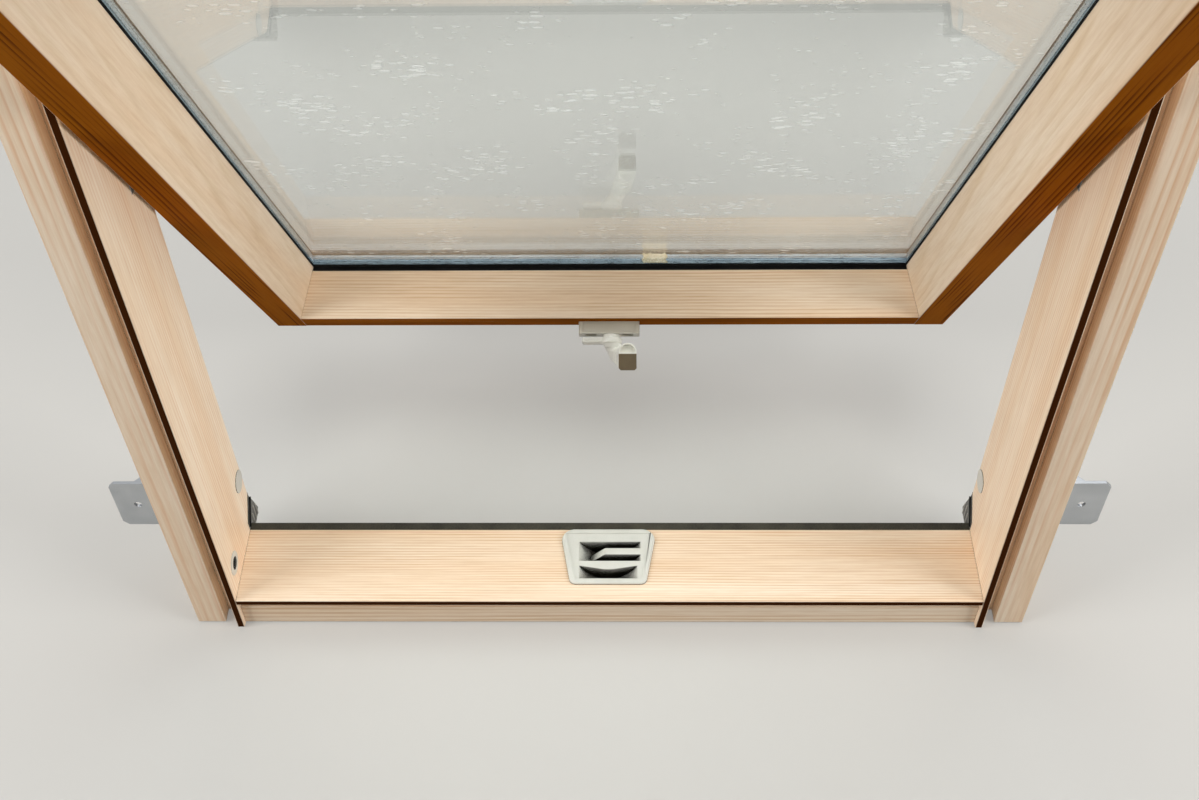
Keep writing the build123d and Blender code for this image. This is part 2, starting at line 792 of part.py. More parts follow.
def setting_block(side):
    x = side * BLOCK_OFFSET
    half = BLOCK_LENGTH / 2
    z0 = UNIT_BOTTOM - EDGE_GAP
    return block(x - half, x + half, at(PANE_DEPTH), at(UNIT_OUTER), z0, UNIT_BOTTOM)


def cladding_section(edge, inner, way, tail):
    # Local X is the side or the height, local Y the depth; way is 1 or -1 along local X
    wood = at(SASH_OUTER)
    glass = at(UNIT_OUTER)
    top = wood + CLADDING_LIFT
    outer = edge + way * SHEET
    clip = (edge + inner) / 2
    skin = [
        (outer, wood - tail),
        (outer, top + SHEET),
        (inner, top + SHEET),
        (inner, glass),
        (inner + way * SHEET, glass),
        (inner + way * SHEET, top),
        (clip, top),
        (clip, wood),
        (clip + way * SHEET, wood),
        (clip + way * SHEET, top),
        (edge, top),
        (edge, wood - tail),
    ]
    return outline(*skin)


def cladding_side():
    inner = GLASS_SIDE + CLADDING_LIP
    section = cladding_section(SASH_SIDE, inner, 1, CLADDING_LEG)
    return along_z(section, GLASS_BOTTOM - CLADDING_LIP, GLASS_TOP + CLADDING_LIP)


def cladding_end(section):
    # The section is drawn upright over depth, and runs the sash's whole width
    half = SASH_SIDE + SHEET
    plane = Plane(origin=(-half, 0, 0), x_dir=(0, 0, 1), z_dir=(-1, 0, 0))
    return extrude(plane * section, amount=half * 2, dir=(1, 0, 0))


def cladding_top():
    section = cladding_section(SASH_TOP, GLASS_TOP + CLADDING_LIP, 1, CLADDING_LEG)
    return cladding_end(section)


def cladding_bottom():
    # The lower profile runs past the sash and turns down into a drip
    inner = GLASS_BOTTOM - CLADDING_LIP
    section = cladding_section(SASH_BOTTOM - DRIP_REACH, inner, -1, DRIP_TURN)
    return cladding_end(section)


def sash_seal():
    # A soft strip around the sash's outer sides, broken at the hinges
    y0 = at(SEAL_DEPTH)
    y1 = at(SEAL_DEPTH + SEAL_WIDTH)
    side = SASH_SIDE + SEAL_PROUD
    outer = block(-side, side, y0, y1, SASH_BOTTOM - SEAL_PROUD, SASH_TOP + SEAL_PROUD)
    outer -= block(-SASH_SIDE, SASH_SIDE, y0, y1, SASH_BOTTOM, SASH_TOP)
    gap = HINGE_LENGTH / 2 + SEAL_HINGE_GAP
    upper = outer & block(-side, side, y0, y1, gap, HALF_CLEAR)
    lower = outer & block(-side, side, y0, y1, -HALF_CLEAR, -gap)
    return upper, lower


def on_sash(part):
    # Handle parts are drawn with X to the right, Y up the sash, Z out of its face to the room
    face = Plane(
        origin=(0, at(SASH_FACE_DEPTH), SASH_BOTTOM), x_dir=(1, 0, 0), z_dir=(0, -1, 0)
    )
    return face * part


def standing(radius, x, y, z0, z1):
    return Pos(x, y, z0) * extrude(Circle(radius), amount=z1 - z0)


def base_pocket(side):
    # Each end of the base is screwed down through a pocket that is open to the room
    x = side * BASE_SCREW_OFFSET
    shape = SlotOverall(BASE_POCKET_LENGTH, BASE_POCKET_WIDTH)
    floor = BASE_HEIGHT - BASE_POCKET_DEPTH
    return Pos(x, BASE_MIDDLE, floor) * extrude(shape, amount=BASE_POCKET_DEPTH + SPARE)


def screw_shank(side, z0, z1):
    return standing(HANDLE_SCREW_RADIUS, side * BASE_SCREW_OFFSET, BASE_MIDDLE, z0, z1)


def handle_base():
    body = block(-BASE_HALF, BASE_HALF, BASE_LOW, BASE_HIGH, 0, BASE_HEIGHT)
    body = chamfer(body.edges().filter_by(Axis.Z), BASE_BEVEL)
    inner = BASE_HALF - BASE_RIM
    floor = BASE_HEIGHT - BASE_RECESS
    for low, high in ((BASE_LOW - SPARE, BASE_LOW + BASE_STEP), (BASE_HIGH - BASE_STEP, BASE_HIGH + SPARE)):
        body -= block(-inner, inner, low, high, BASE_STEP, floor)
    end = HUB_STAND - SPINDLE_LENGTH - HUB_GAP
    bore = SPINDLE_RADIUS + SPINDLE_CLEARANCE
    body -= standing(bore, HUB_OFFSET, HUB_RISE, end, BASE_HEIGHT + SPARE)
    for side in (-1, 1):
        body = body - base_pocket(side) - screw_shank(side, -SPARE, BASE_HEIGHT)
    return on_sash(body)


def handle_screw(side):
    seat = BASE_HEIGHT - BASE_POCKET_DEPTH
    x = side * BASE_SCREW_OFFSET
    top = seat + HANDLE_SCREW_HEAD_HEIGHT
    head = standing(HANDLE_SCREW_HEAD, x, BASE_MIDDLE, seat, top)
    return on_sash(head + screw_shank(side, seat - HANDLE_SCREW_LENGTH, seat))


def arm_section(side, rise, stand, width, height, turn):
    # The arm's back is half round and its front edges are chamfered, and a turn of 90 degrees
    # makes it point up the sash
    half = width / 2
    section = Pos(0, height / 2 - half) * Circle(half)
    section = (section + Pos(0, -half / 2) * Rectangle(width, height - half)) & Rectangle(width, height)
    section = chamfer(section.vertices().sort_by(Axis.Y)[:2], GRIP_CHAMFER)
    return Pos(HUB_OFFSET + side, HUB_RISE + rise, stand) * Rot(-turn, 0, 0) * section


def handle_arm():
    # It leaves the hub away from the sash, turns at an elbow and runs up to the grip's end
    root = KNUCKLE_HIGH - ARM_ROOT_BITE
    neck = HUB_RADIUS * 2
    return loft([
        arm_section(0, 0, root, neck, neck, 0),
        arm_section(ELBOW_SIDE, ELBOW_RISE, ELBOW_STAND, GRIP_WIDTH, ELBOW_HEIGHT, ELBOW_TURN),
        arm_section(WAIST_SIDE, WAIST_RISE, WAIST_STAND, GRIP_WIDTH, WAIST_HEIGHT, 90),
        arm_section(GRIP_SIDE, GRIP_REACH, GRIP_STAND, GRIP_WIDTH, GRIP_HEIGHT, 90),
    ], ruled=True)


def grip_cap_space():
    end = HUB_RISE + GRIP_REACH
    x = HUB_OFFSET + GRIP_SIDE
    high = GRIP_STAND + GRIP_HEIGHT / 2
    y0 = end - GRIP_CAP_THICKNESS
    z0 = high - GRIP_CAP_HEIGHT
    return block(x - GRIP_WIDTH, x + GRIP_WIDTH, y0, end + SPARE, z0, high + SPARE)


def grip_cap():
    # The inlay in the lower part of the grip's end
    return on_sash(handle_arm() & grip_cap_space())


def grip_hollow():
    # Above the inlay the end is hollow inside a thin half-round rim
    end = HUB_RISE + GRIP_REACH
    low = GRIP_STAND - GRIP_HEIGHT / 2
    top = GRIP_STAND + GRIP_HEIGHT / 2 - GRIP_CAP_HEIGHT - GRIP_RIM
    radius = GRIP_WIDTH / 2 - GRIP_RIM
    middle = low + GRIP_WIDTH / 2
    face = Plane(
        origin=(HUB_OFFSET + GRIP_SIDE, end + SPARE, middle), x_dir=(1, 0, 0), z_dir=(0, -1, 0)
    )
    shape = Circle(radius) + Pos(0, (top - middle) / 2) * Rectangle(radius * 2, top - middle)
    shape -= Pos(0, top - middle + radius) * Rectangle(radius * 3, radius * 2)
    return face * extrude(shape, amount=GRIP_HOLLOW + SPARE)


def hub_profile():
    # Narrow beside the keep's tongue and land, wide between them where the slot is
    return outline(
        (0, HUB_STAND),
        (HUB_RADIUS, HUB_STAND),
        (HUB_RADIUS, KNUCKLE_LOW),
        (KNUCKLE_RADIUS, KNUCKLE_LOW + KNUCKLE_SLOPE),
        (KNUCKLE_RADIUS, KNUCKLE_HIGH - KNUCKLE_SLOPE),
        (HUB_RADIUS, KNUCKLE_HIGH),
        (HUB_RADIUS - HUB_CROWN / 2, KNUCKLE_HIGH + HUB_CROWN),
        (0, KNUCKLE_HIGH + HUB_CROWN),
    )


def handle_hub():
    # Its knuckle is flat below, where it passes the sill strip as the sash swings out
    reach = KNUCKLE_RADIUS + SPARE
    flat = block(-reach, reach, -reach, -HUB_RADIUS, KNUCKLE_LOW, KNUCKLE_HIGH)
    spindle = standing(SPINDLE_RADIUS, 0, 0, HUB_STAND - SPINDLE_LENGTH, HUB_STAND)
    return revolve(Plane.XZ * hub_profile(), axis=Axis.Z) - flat + spindle


def lug():
    # A bar with its two edges towards the room taken off
    half = LUG_WIDTH / 2
    z0 = LUG_STAND - LUG_THICKNESS / 2
    z1 = LUG_STAND + LUG_THICKNESS / 2
    section = outline(
        (HUB_RISE - half, z0),
        (HUB_RISE + half, z0),
        (HUB_RISE + half, z1 - LUG_BEVEL),
        (HUB_RISE + half - LUG_BEVEL, z1),
        (HUB_RISE - half + LUG_BEVEL, z1),
        (HUB_RISE - half, z1 - LUG_BEVEL),
    )
    bar = along_x(section, HUB_OFFSET - LUG_RADIUS, HUB_OFFSET)
    return chamfer(bar.faces().sort_by(Axis.X)[0].edges(), BASE_BEVEL)


def handle_lever():
    body = Pos(HUB_OFFSET, HUB_RISE, 0) * handle_hub()
    body = body + lug() + handle_arm()
    return on_sash(body - grip_cap_space() - grip_hollow())


def bolt_guide():
    slot_end = STEM_RADIUS + STEM_CLEARANCE + GUIDE_END
    x1 = -SASH_SIDE + KNOB_INSET + slot_end
    x0 = -SASH_SIDE + KNOB_INSET - BOLT_TRAVEL - slot_end + SPARE
    y1 = at(SASH_FACE_DEPTH)
    half = GUIDE_WIDTH / 2
    plate = block(x0, x1, y1 - GUIDE_SHEET, y1, BOLT_RISE - half, BOLT_RISE + half)
    plate = fillet(plate.edges().filter_by(Axis.Y), GUIDE_SHEET)
    return plate - bolt_slot(y1 - GUIDE_SHEET - SPARE, y1 + SPARE)


def cleaning_bolt():
    y = at(BOLT_DEPTH)
    x0 = -SASH_SIDE + BOLT_SET_BACK
    pin = rod_x(BOLT_RADIUS, x0, x0 + BOLT_LENGTH, y, BOLT_RISE)
    pin = chamfer(pin.edges().group_by(Axis.X)[0], SHEET)
    x = -SASH_SIDE + KNOB_INSET
    foot = at(SASH_FACE_DEPTH) - GUIDE_SHEET - KNOB_GAP
    stem = rod_y(STEM_RADIUS, foot, y, x, BOLT_RISE)
    knob = rod_y(KNOB_RADIUS, foot - KNOB_HEIGHT, foot, x, BOLT_RISE)
    knob = chamfer(knob.edges().group_by(Axis.Y)[0], KNOB_BEVEL)
    return pin + stem + knob


def opened(part):
    # The sash is modelled shut and stands open, as the photograph shows it
    pivot = Axis((0, at(PIVOT_DEPTH), 0), (1, 0, 0))
    return part.rotate(pivot, OPEN_ANGLE)


seal_upper, seal_lower = sash_seal()

frame_parts = {
    "frame_jamb_right": jamb(),
    "frame_jamb_left": left_jamb(),
    "frame_bottom_rail": bottom_rail(),
    "frame_top_rail": top_rail(),
    "frame_sill_strip": sill_strip(),
    "frame_sill_cladding": sill_cladding(),
    "frame_side_cover_right": side_cover(),
    "frame_side_cover_left": left_of(side_cover()),
    "frame_top_hood": top_hood(),
    "corner_seal_right": corner_seal(),
    "corner_seal_left": left_of(corner_seal()),
    "corner_tab_right": corner_tab(),
    "corner_tab_left": left_of(corner_tab()),
    "bracket_upper_right": bracket(BRACKET_Z),
    "bracket_upper_left": left_of(bracket(BRACKET_Z)),
    "bracket_lower_right": bracket(-BRACKET_Z),
    "bracket_lower_left": left_of(bracket(-BRACKET_Z)),
    "screw_cap_right": screw_cap(),
    "screw_cap_left": left_of(screw_cap()),
    "latch_keep": latch_keep(),
    "bolt_socket_lower": bolt_socket(SOCKET_DEPTH, -HALF_CLEAR + SOCKET_RISE),
    "bolt_socket_upper": bolt_socket(BOLT_DEPTH, BOLT_RISE),
    "frame_hinge_right": frame_hinge(),
    "frame_hinge_left": left_of(frame_hinge()),
    "hinge_washer_right": hinge_washer(),
    "hinge_washer_left": left_of(hinge_washer()),
}

sash_parts = {
    "sash_stile_right": right_stile(),
    "sash_stile_left": left_stile(),
    "sash_bottom_rail": sash_bottom_rail(),
    "sash_top_rail": sash_top_rail(),
    "glass_inner_pane": sheet_of_glass(PANE_DEPTH),
    "glass_outer_pane": sheet_of_glass(PANE_DEPTH + PANE + CAVITY),
    "glass_spacer": glass_spacer(),
    "glass_edge_seal": edge_seal(),
    "glazing_gasket": glazing_gasket(),
    "setting_block_right": setting_block(1),
    "setting_block_left": setting_block(-1),
    "sash_cladding_right": cladding_side(),
    "sash_cladding_left": left_of(cladding_side()),
    "sash_cladding_top": cladding_top(),
    "sash_cladding_bottom": cladding_bottom(),
    "sash_seal_upper": seal_upper,
    "sash_seal_lower": seal_lower,
    "sash_hinge_right": sash_hinge(),
    "sash_hinge_left": left_of(sash_hinge()),
    "handle_base": handle_base(),
    "handle_screw_right": handle_screw(1),
    "handle_screw_left": handle_screw(-1),
    "handle_lever": handle_lever(),
    "grip_cap": grip_cap(),
    "bolt_guide": bolt_guide(),
    "cleaning_bolt": cleaning_bolt(),
}

for name, part in frame_parts.items():
    export_step(part, f"parts/{name}.step")

for name, part in sash_parts.items():
    export_step(opened(part), f"parts/{name}.step")

print("parts written:", len(frame_parts) + len(sash_parts))
print("cleaning bolt at depth", round(BOLT_DEPTH, 2), "height", round(BOLT_RISE, 2))
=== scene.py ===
import bpy
import bmesh
from math import cos, pi, radians, sin
from mathutils import Matrix, Vector


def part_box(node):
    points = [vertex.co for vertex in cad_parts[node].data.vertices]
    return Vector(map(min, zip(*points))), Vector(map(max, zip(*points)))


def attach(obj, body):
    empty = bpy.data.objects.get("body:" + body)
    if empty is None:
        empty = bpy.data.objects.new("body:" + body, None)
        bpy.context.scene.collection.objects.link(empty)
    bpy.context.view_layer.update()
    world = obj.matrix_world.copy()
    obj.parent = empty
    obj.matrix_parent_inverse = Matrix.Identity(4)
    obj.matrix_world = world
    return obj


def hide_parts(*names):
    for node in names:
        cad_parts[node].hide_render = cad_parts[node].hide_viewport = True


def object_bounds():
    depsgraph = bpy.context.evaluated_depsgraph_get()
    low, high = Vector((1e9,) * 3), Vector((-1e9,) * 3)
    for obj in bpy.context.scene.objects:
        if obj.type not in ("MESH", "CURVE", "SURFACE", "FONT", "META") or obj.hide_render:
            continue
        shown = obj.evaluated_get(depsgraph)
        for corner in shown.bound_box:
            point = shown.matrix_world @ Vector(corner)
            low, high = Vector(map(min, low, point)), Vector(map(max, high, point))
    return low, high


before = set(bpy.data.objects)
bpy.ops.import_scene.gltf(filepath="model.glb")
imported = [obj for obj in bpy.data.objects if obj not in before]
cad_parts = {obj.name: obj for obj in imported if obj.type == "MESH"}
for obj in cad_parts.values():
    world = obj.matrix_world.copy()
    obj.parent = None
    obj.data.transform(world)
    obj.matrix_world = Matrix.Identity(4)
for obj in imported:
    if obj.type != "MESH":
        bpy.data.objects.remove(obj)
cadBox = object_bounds()
print("frame loaded:", len(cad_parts), "nodes")

mm = 0.001
window = {
    "openAngle": 31.0,  # degrees the sash stands open
    "pivot": (0.0, 45.0, 0.0),  # mm, on the hinge axis
    "softCorner": 32.0,  # degrees, above which an edge stays sharp
}
pivot = Vector(window["pivot"]) * mm
swing = radians(window["openAngle"])


# Small helpers

def linear(hexText):
    channels = [int(hexText[i:i + 2], 16) / 255 for i in (1, 3, 5)]
    flat = [c / 12.92 if c <= 0.04045 else ((c + 0.055) / 1.055) ** 2.4 for c in channels]
    return (*flat, 1.0)


def addNode(material, kind, links=None, stops=None, **settings):
    # Settings name a property, or an input with _ for its spaces; stops fill a colour ramp
    node = material.node_tree.nodes.new("ShaderNode" + kind)
    for key, value in settings.items():
        if hasattr(node, key):
            setattr(node, key, value)
        else:
            node.inputs[key.replace("_", " ")].default_value = value
    for i, (spot, shade) in enumerate(stops or []):
        ramp = node.color_ramp.elements
        element = ramp[i] if i < 2 else ramp.new(spot)
        element.position = spot
        element.color = linear(shade)
    for socket, source in (links or {}).items():
        material.node_tree.links.new(source, node.inputs[socket])
    return node


def newMaterial(name, **fixed):
    material = bpy.data.materials.new(name)
    material.use_nodes = True
    shader = material.node_tree.nodes["Principled BSDF"]
    for key, value in fixed.items():
        shader.inputs[key.replace("_", " ")].default_value = value
    return material, shader


def join(material, source, socket):
    material.node_tree.links.new(source, socket)


def dress(material, *names):
    for name in names:
        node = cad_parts[name]
        node.data.materials.clear()
        node.data.materials.append(material)


def closedBox(name):
    # A sash node's box in mm, as it lies with the window shut
    back = Matrix.Rotation(-swing, 3, "X")
    spots = [back @ (v.co - pivot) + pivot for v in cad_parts[name].data.vertices]
    low = Vector([min(p[i] for p in spots) for i in range(3)]) / mm
    high = Vector([max(p[i] for p in spots) for i in range(3)]) / mm
    return low, high


def toMetres(shape):
    bmesh.ops.scale(shape, vec=(mm, mm, mm), verts=shape.verts)


def openSash(shape):
    # Pieces on the sash are drawn with the window shut, in mm, and then swung open
    toMetres(shape)
    bmesh.ops.rotate(shape, cent=pivot, matrix=Matrix.Rotation(swing, 3, "X"), verts=shape.verts)


def addPiece(name, shape, material, body, smooth=False):
    bmesh.ops.recalc_face_normals(shape, faces=shape.faces)
    for face in shape.faces:
        face.smooth = smooth
    for edge in shape.edges:
        soft = radians(window["softCorner"])
        edge.smooth = not edge.is_manifold or edge.calc_face_angle(0) < soft
    mesh = bpy.data.meshes.new(name)
    shape.to_mesh(mesh)
    shape.free()
    mesh.materials.append(material)
    piece = bpy.data.objects.new(name, mesh)
    bpy.context.scene.collection.objects.link(piece)
    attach(piece, body)
    return piece


def addBlock(shape, low, high):
    made = bmesh.ops.create_cube(shape, size=1.0)["verts"]
    size = Vector(high) - Vector(low)
    bmesh.ops.scale(shape, vec=size, verts=made)
    bmesh.ops.translate(shape, vec=(Vector(high) + Vector(low)) / 2, verts=made)


def sharpEdges(shape, angle):
    return [e for e in shape.edges if e.is_manifold and e.calc_face_angle(0) > radians(angle)]


def roundEdges(shape, edges, width, segments=2, clamp=False):
    bmesh.ops.bevel(shape, geom=edges, offset=width, offset_type="OFFSET", segments=segments,
                    profile=0.5, affect="EDGES", material=-1, clamp_overlap=clamp)


def roundedCopy(node, width, body, material):
    # A merged copy of a node whose sharp edges get a small round, in place of the node
    shape = bmesh.new()
    shape.from_mesh(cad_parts[node].data)
    bmesh.ops.remove_doubles(shape, verts=shape.verts, dist=0.00001)
    bmesh.ops.dissolve_limit(shape, angle_limit=radians(1.5), verts=shape.verts, edges=shape.edges)
    roundEdges(shape, sharpEdges(shape, 28), width * mm, segments=3, clamp=True)
    bmesh.ops.triangulate(shape, faces=[f for f in shape.faces if len(f.verts) > 4])
    piece = addPiece(node + "_rounded", shape, material, body, smooth=True)
    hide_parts(node)


# Pine: planed, with growth rings about a pith outside each board, and a clear lacquer

pineLook = {
    "early": "#FBE9D2",  # pale spring wood
    "paintedShadeEarly": "#AA6414",  # painted shade on the sash's inner sides, which face the room
    "paintedShadeLate": "#653408",
    "lip": "#3E1F08",  # painted shade on the frame's rim, beside the opening
    "wander": 13.0,  # how far the rings wander, in radians of a ring
    "stretch": 0.05,  # the grain's scale lengthwise, as a share of that across
    "fibre": 2.2,  # mm; real fibres are far finer and are drawn coarser to show
    "cloud": 30.0,  # mm, slow changes of tone
    "patch": 11.0,  # mm, places where the rings show strongly
    "gloss": 0.16,  # the lacquer's specular level
    "worn": "#FFF1DA",  # lacquer rubbed thin along the arrises
    "arris": 0.9,  # mm
    "jointShade": "#4A2E15",
    "joint": 2.5,  # mm, how far it reaches from a joint
}
boards = {
    # pith: mm from the log's heart to the board's middle, in the shut window; lean: degrees
    # between the two; ring: mm between growth rings; late: the thin darker summer wood;
    # rim: the two places, in mm across a frame board, between which its painted shade fades out
    "frame_jamb_left": {"along": "Z", "pith": (95, 190, 11), "lean": 0.6, "ring": 3.4,
                        "late": "#EFCDAC", "rim": (-354, -358)},
    "frame_jamb_right": {"along": "Z", "pith": (-88, 205, 40), "lean": -0.5, "ring": 3.2,
                         "late": "#EDCAA9", "rim": (354, 358)},
    "frame_bottom_rail": {"along": "X", "pith": (16, -190, -95), "lean": 0.3, "ring": 2.7,
                          "late": "#E3C099", "rim": (-454, -458)},
    "frame_top_rail": {"along": "X", "pith": (-31, 170, 120), "lean": -0.4, "ring": 2.9,
                       "late": "#DDB68A", "rim": (454, 458)},
    "sash_stile_left": {"along": "Z", "pith": (120, -60, 5), "lean": 0.9, "ring": 3.1,
                        "late": "#F2DDC0"},
    "sash_stile_right": {"along": "Z", "pith": (-112, -66, 22), "lean": -0.8, "ring": 3.0,
                         "late": "#F1DBBD"},
    "sash_bottom_rail": {"along": "X", "pith": (7, 190, -90), "lean": 0.5, "ring": 2.5,
                         "late": "#E8CAA4"},
    "sash_top_rail": {"along": "X", "pith": (44, 160, 120), "lean": 0.4, "ring": 3.0,
                      "late": "#DDBB90"},
}


def alongBoard(material, name, board, tilt, coords):
    # Coordinates about the log's heart, drawn out along the board
    low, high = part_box(name)
    middle = (Vector(low) + Vector(high)) / 2
    place = Vector(board["pith"]) * mm - Matrix.Rotation(tilt, 3, "X") @ middle
    stretch = pineLook["stretch"]
    lengthwise = (stretch, 1, 1) if board["along"] == "X" else (1, 1, stretch)
    lying = addNode(material, "Mapping", {"Vector": coords.outputs["Object"]},
                    Location=place, Rotation=(tilt, 0, 0))
    leaning = addNode(material, "Mapping", {"Vector": lying.outputs["Vector"]},
                      Rotation=(0, radians(board["lean"]), 0))
    drawn = addNode(material, "Mapping", {"Vector": leaning.outputs["Vector"]}, Scale=lengthwise)
    return drawn.outputs["Vector"]


def paintedShadeWood(material, rings, strength):
    # Painted shade on the sash's inner sides: the same rings in darker wood
    faded = addNode(material, "Math", {0: rings, 1: strength}, operation="MULTIPLY")
    dark = addNode(material, "ValToRGB", {"Fac": faded.outputs["Value"]},
                   stops=[(0.0, pineLook["paintedShadeEarly"]), (0.35, pineLook["paintedShadeEarly"]),
                          (0.85, pineLook["paintedShadeLate"]), (1.0, pineLook["paintedShadeEarly"])])
    return dark.outputs["Color"]


def paintedRimShade(material, board, coords, inward, paleWood):
    # Painted shade only on the rim beside the opening; the rest of the inner side is bare pine
    spot = addNode(material, "SeparateXYZ", {"Vector": coords.outputs["Object"]})
    across = {"Z": "X", "X": "Z"}[board["along"]]
    begin, end = board["rim"]
    rim = addNode(material, "MapRange", {"Value": spot.outputs[across]},
                  From_Min=end * mm, From_Max=begin * mm)
    share = addNode(material, "Math", {0: rim.outputs["Result"], 1: inward}, operation="MULTIPLY")
    rimShaded = addNode(material, "MixRGB", {"Fac": share.outputs["Value"], "Color1": paleWood},
                    Color2=linear(pineLook["lip"]))
    return rimShaded.outputs["Color"], share.outputs["Value"]


def wearAndJointShade(material, colour, rounded):
    # The lacquer is rubbed thin along the arrises, which draws them as pale lines
    geometry = addNode(material, "NewGeometry")
    flat = addNode(material, "VectorMath", {0: rounded, 1: geometry.outputs["Normal"]},
                   operation="DOT_PRODUCT")
    rubbed = addNode(material, "MapRange", {"Value": flat.outputs["Value"]},
                     From_Min=0.995, From_Max=0.85, To_Min=0.0, To_Max=0.3)
    worn = addNode(material, "MixRGB", {"Fac": rubbed.outputs["Result"], "Color1": colour},
                   Color2=linear(pineLook["worn"]))
    # Painted shade: ambient occlusion draws the joints as thin dark lines
    crease = addNode(material, "AmbientOcclusion", samples=6, Distance=pineLook["joint"] * mm)
    inJoint = addNode(material, "MapRange", {"Value": crease.outputs["AO"]},
                      From_Min=0.6, From_Max=0.35, To_Min=0.0, To_Max=0.85)
    wornAndShaded = addNode(material, "MixRGB", {"Fac": inJoint.outputs["Result"],
                                        "Color1": worn.outputs["Color"]},
                   Color2=linear(pineLook["jointShade"]))
    return wornAndShaded.outputs["Color"]


def pineBoard(name, board):
    material, shader = newMaterial("lacquered pine, " + name.replace("_", " "),
                                   Coat_Weight=0.03, Coat_Roughness=0.3, IOR=1.45)
    onSash = name.startswith("sash")
    tilt = -swing if onSash else 0.0
    coords = addNode(material, "TexCoord")
    drawn = alongBoard(material, name, board, tilt, coords)
    wave = 2 * pi / 20  # a wave texture's period, in its own units
    rings = addNode(material, "TexWave", {"Vector": drawn}, wave_type="RINGS",
                    rings_direction=board["along"], wave_profile="SAW",
                    Scale=wave / (board["ring"] * mm), Distortion=pineLook["wander"],
                    Detail=3.0, Detail_Scale=0.16, Detail_Roughness=0.6)
    fibres = addNode(material, "TexNoise", {"Vector": drawn},
                     Scale=1 / (pineLook["fibre"] * mm), Detail=4.0, Roughness=0.65)
    clouds = addNode(material, "TexNoise", {"Vector": drawn},
                     Scale=1 / (pineLook["cloud"] * mm), Detail=2.0, Roughness=0.5)
    light = addNode(material, "ValToRGB", {"Fac": rings.outputs["Fac"]},
                    stops=[(0.0, pineLook["early"]), (0.4, pineLook["early"]),
                           (0.85, board["late"]), (1.0, pineLook["early"])])
    # Rings show strongly in one place and hardly at all in the next
    patchy = addNode(material, "TexNoise", {"Vector": drawn},
                     Scale=1 / (pineLook["patch"] * mm), Detail=1.0)
    strength = addNode(material, "MapRange", {"Value": patchy.outputs["Fac"]},
                       From_Min=0.38, From_Max=0.62, To_Min=0.25, To_Max=1.0)
    inLight = addNode(material, "MixRGB", {"Fac": strength.outputs["Result"],
                                           "Color2": light.outputs["Color"]},
                      Color1=linear(pineLook["early"]))
    # Painted shade goes on the inner sides, which face the room
    # Inner sides: the normal in object space against the direction that they face
    facing = addNode(material, "VectorMath", {0: coords.outputs["Normal"]},
                     operation="DOT_PRODUCT")
    facing.inputs[1].default_value = (0.0, -cos(tilt), sin(tilt))
    inward = addNode(material, "MapRange", {"Value": facing.outputs["Value"]},
                     From_Min=0.72, From_Max=0.98)
    if onSash:
        shaded = paintedShadeWood(material, rings.outputs["Fac"], strength.outputs["Result"])
        share = inward.outputs["Result"]
    else:
        shaded, share = paintedRimShade(material, board, coords, inward.outputs["Result"],
                                   inLight.outputs["Color"])
    grain = addNode(material, "MixRGB", {"Fac": share, "Color1": inLight.outputs["Color"],
                                         "Color2": shaded})
    streaks = addNode(material, "ValToRGB", {"Fac": fibres.outputs["Fac"]},
                      stops=[(0.3, "#E8DAC8"), (0.62, "#FFFFFF")])
    streaked = addNode(material, "MixRGB", {"Color1": grain.outputs["Color"],
                                            "Color2": streaks.outputs["Color"]},
                       blend_type="MULTIPLY", Fac=0.5)
    tone = addNode(material, "ValToRGB", {"Fac": clouds.outputs["Fac"]},
                   stops=[(0.3, "#F3E0CB"), (0.7, "#FFFFFF")])
    toned = addNode(material, "MixRGB", {"Color1": streaked.outputs["Color"],
                                         "Color2": tone.outputs["Color"]},
                    blend_type="MULTIPLY", Fac=0.6)
    arris = addNode(material, "Bevel", samples=4, Radius=pineLook["arris"] * mm)
    relief = addNode(material, "Math", {0: rings.outputs["Fac"], 1: fibres.outputs["Fac"]},
                     operation="ADD")
    bump = addNode(material, "Bump", {"Height": relief.outputs["Value"],
                                      "Normal": arris.outputs["Normal"]},
                   Strength=0.12, Distance=0.2 * mm)
    sheen = addNode(material, "MapRange", {"Value": fibres.outputs["Fac"]},
                    From_Min=0.3, From_Max=0.7, To_Min=0.38, To_Max=0.52)
    # Where shade is painted, the lacquer's shine is turned down too
    shine = addNode(material, "MapRange", {"Value": share}, To_Min=pineLook["gloss"], To_Max=0.0)
    wornAndShaded = wearAndJointShade(material, toned.outputs["Color"], arris.outputs["Normal"])
    join(material, wornAndShaded, shader.inputs["Base Color"])
    join(material, shine.outputs["Result"], shader.inputs["Specular IOR Level"])
    join(material, sheen.outputs["Result"], shader.inputs["Roughness"])
    join(material, bump.outputs["Normal"], shader.inputs["Normal"])
    dress(material, name)


for name, board in boards.items():
    pineBoard(name, board)
print("pine boards:", len(boards))


# Moulded and rubber parts

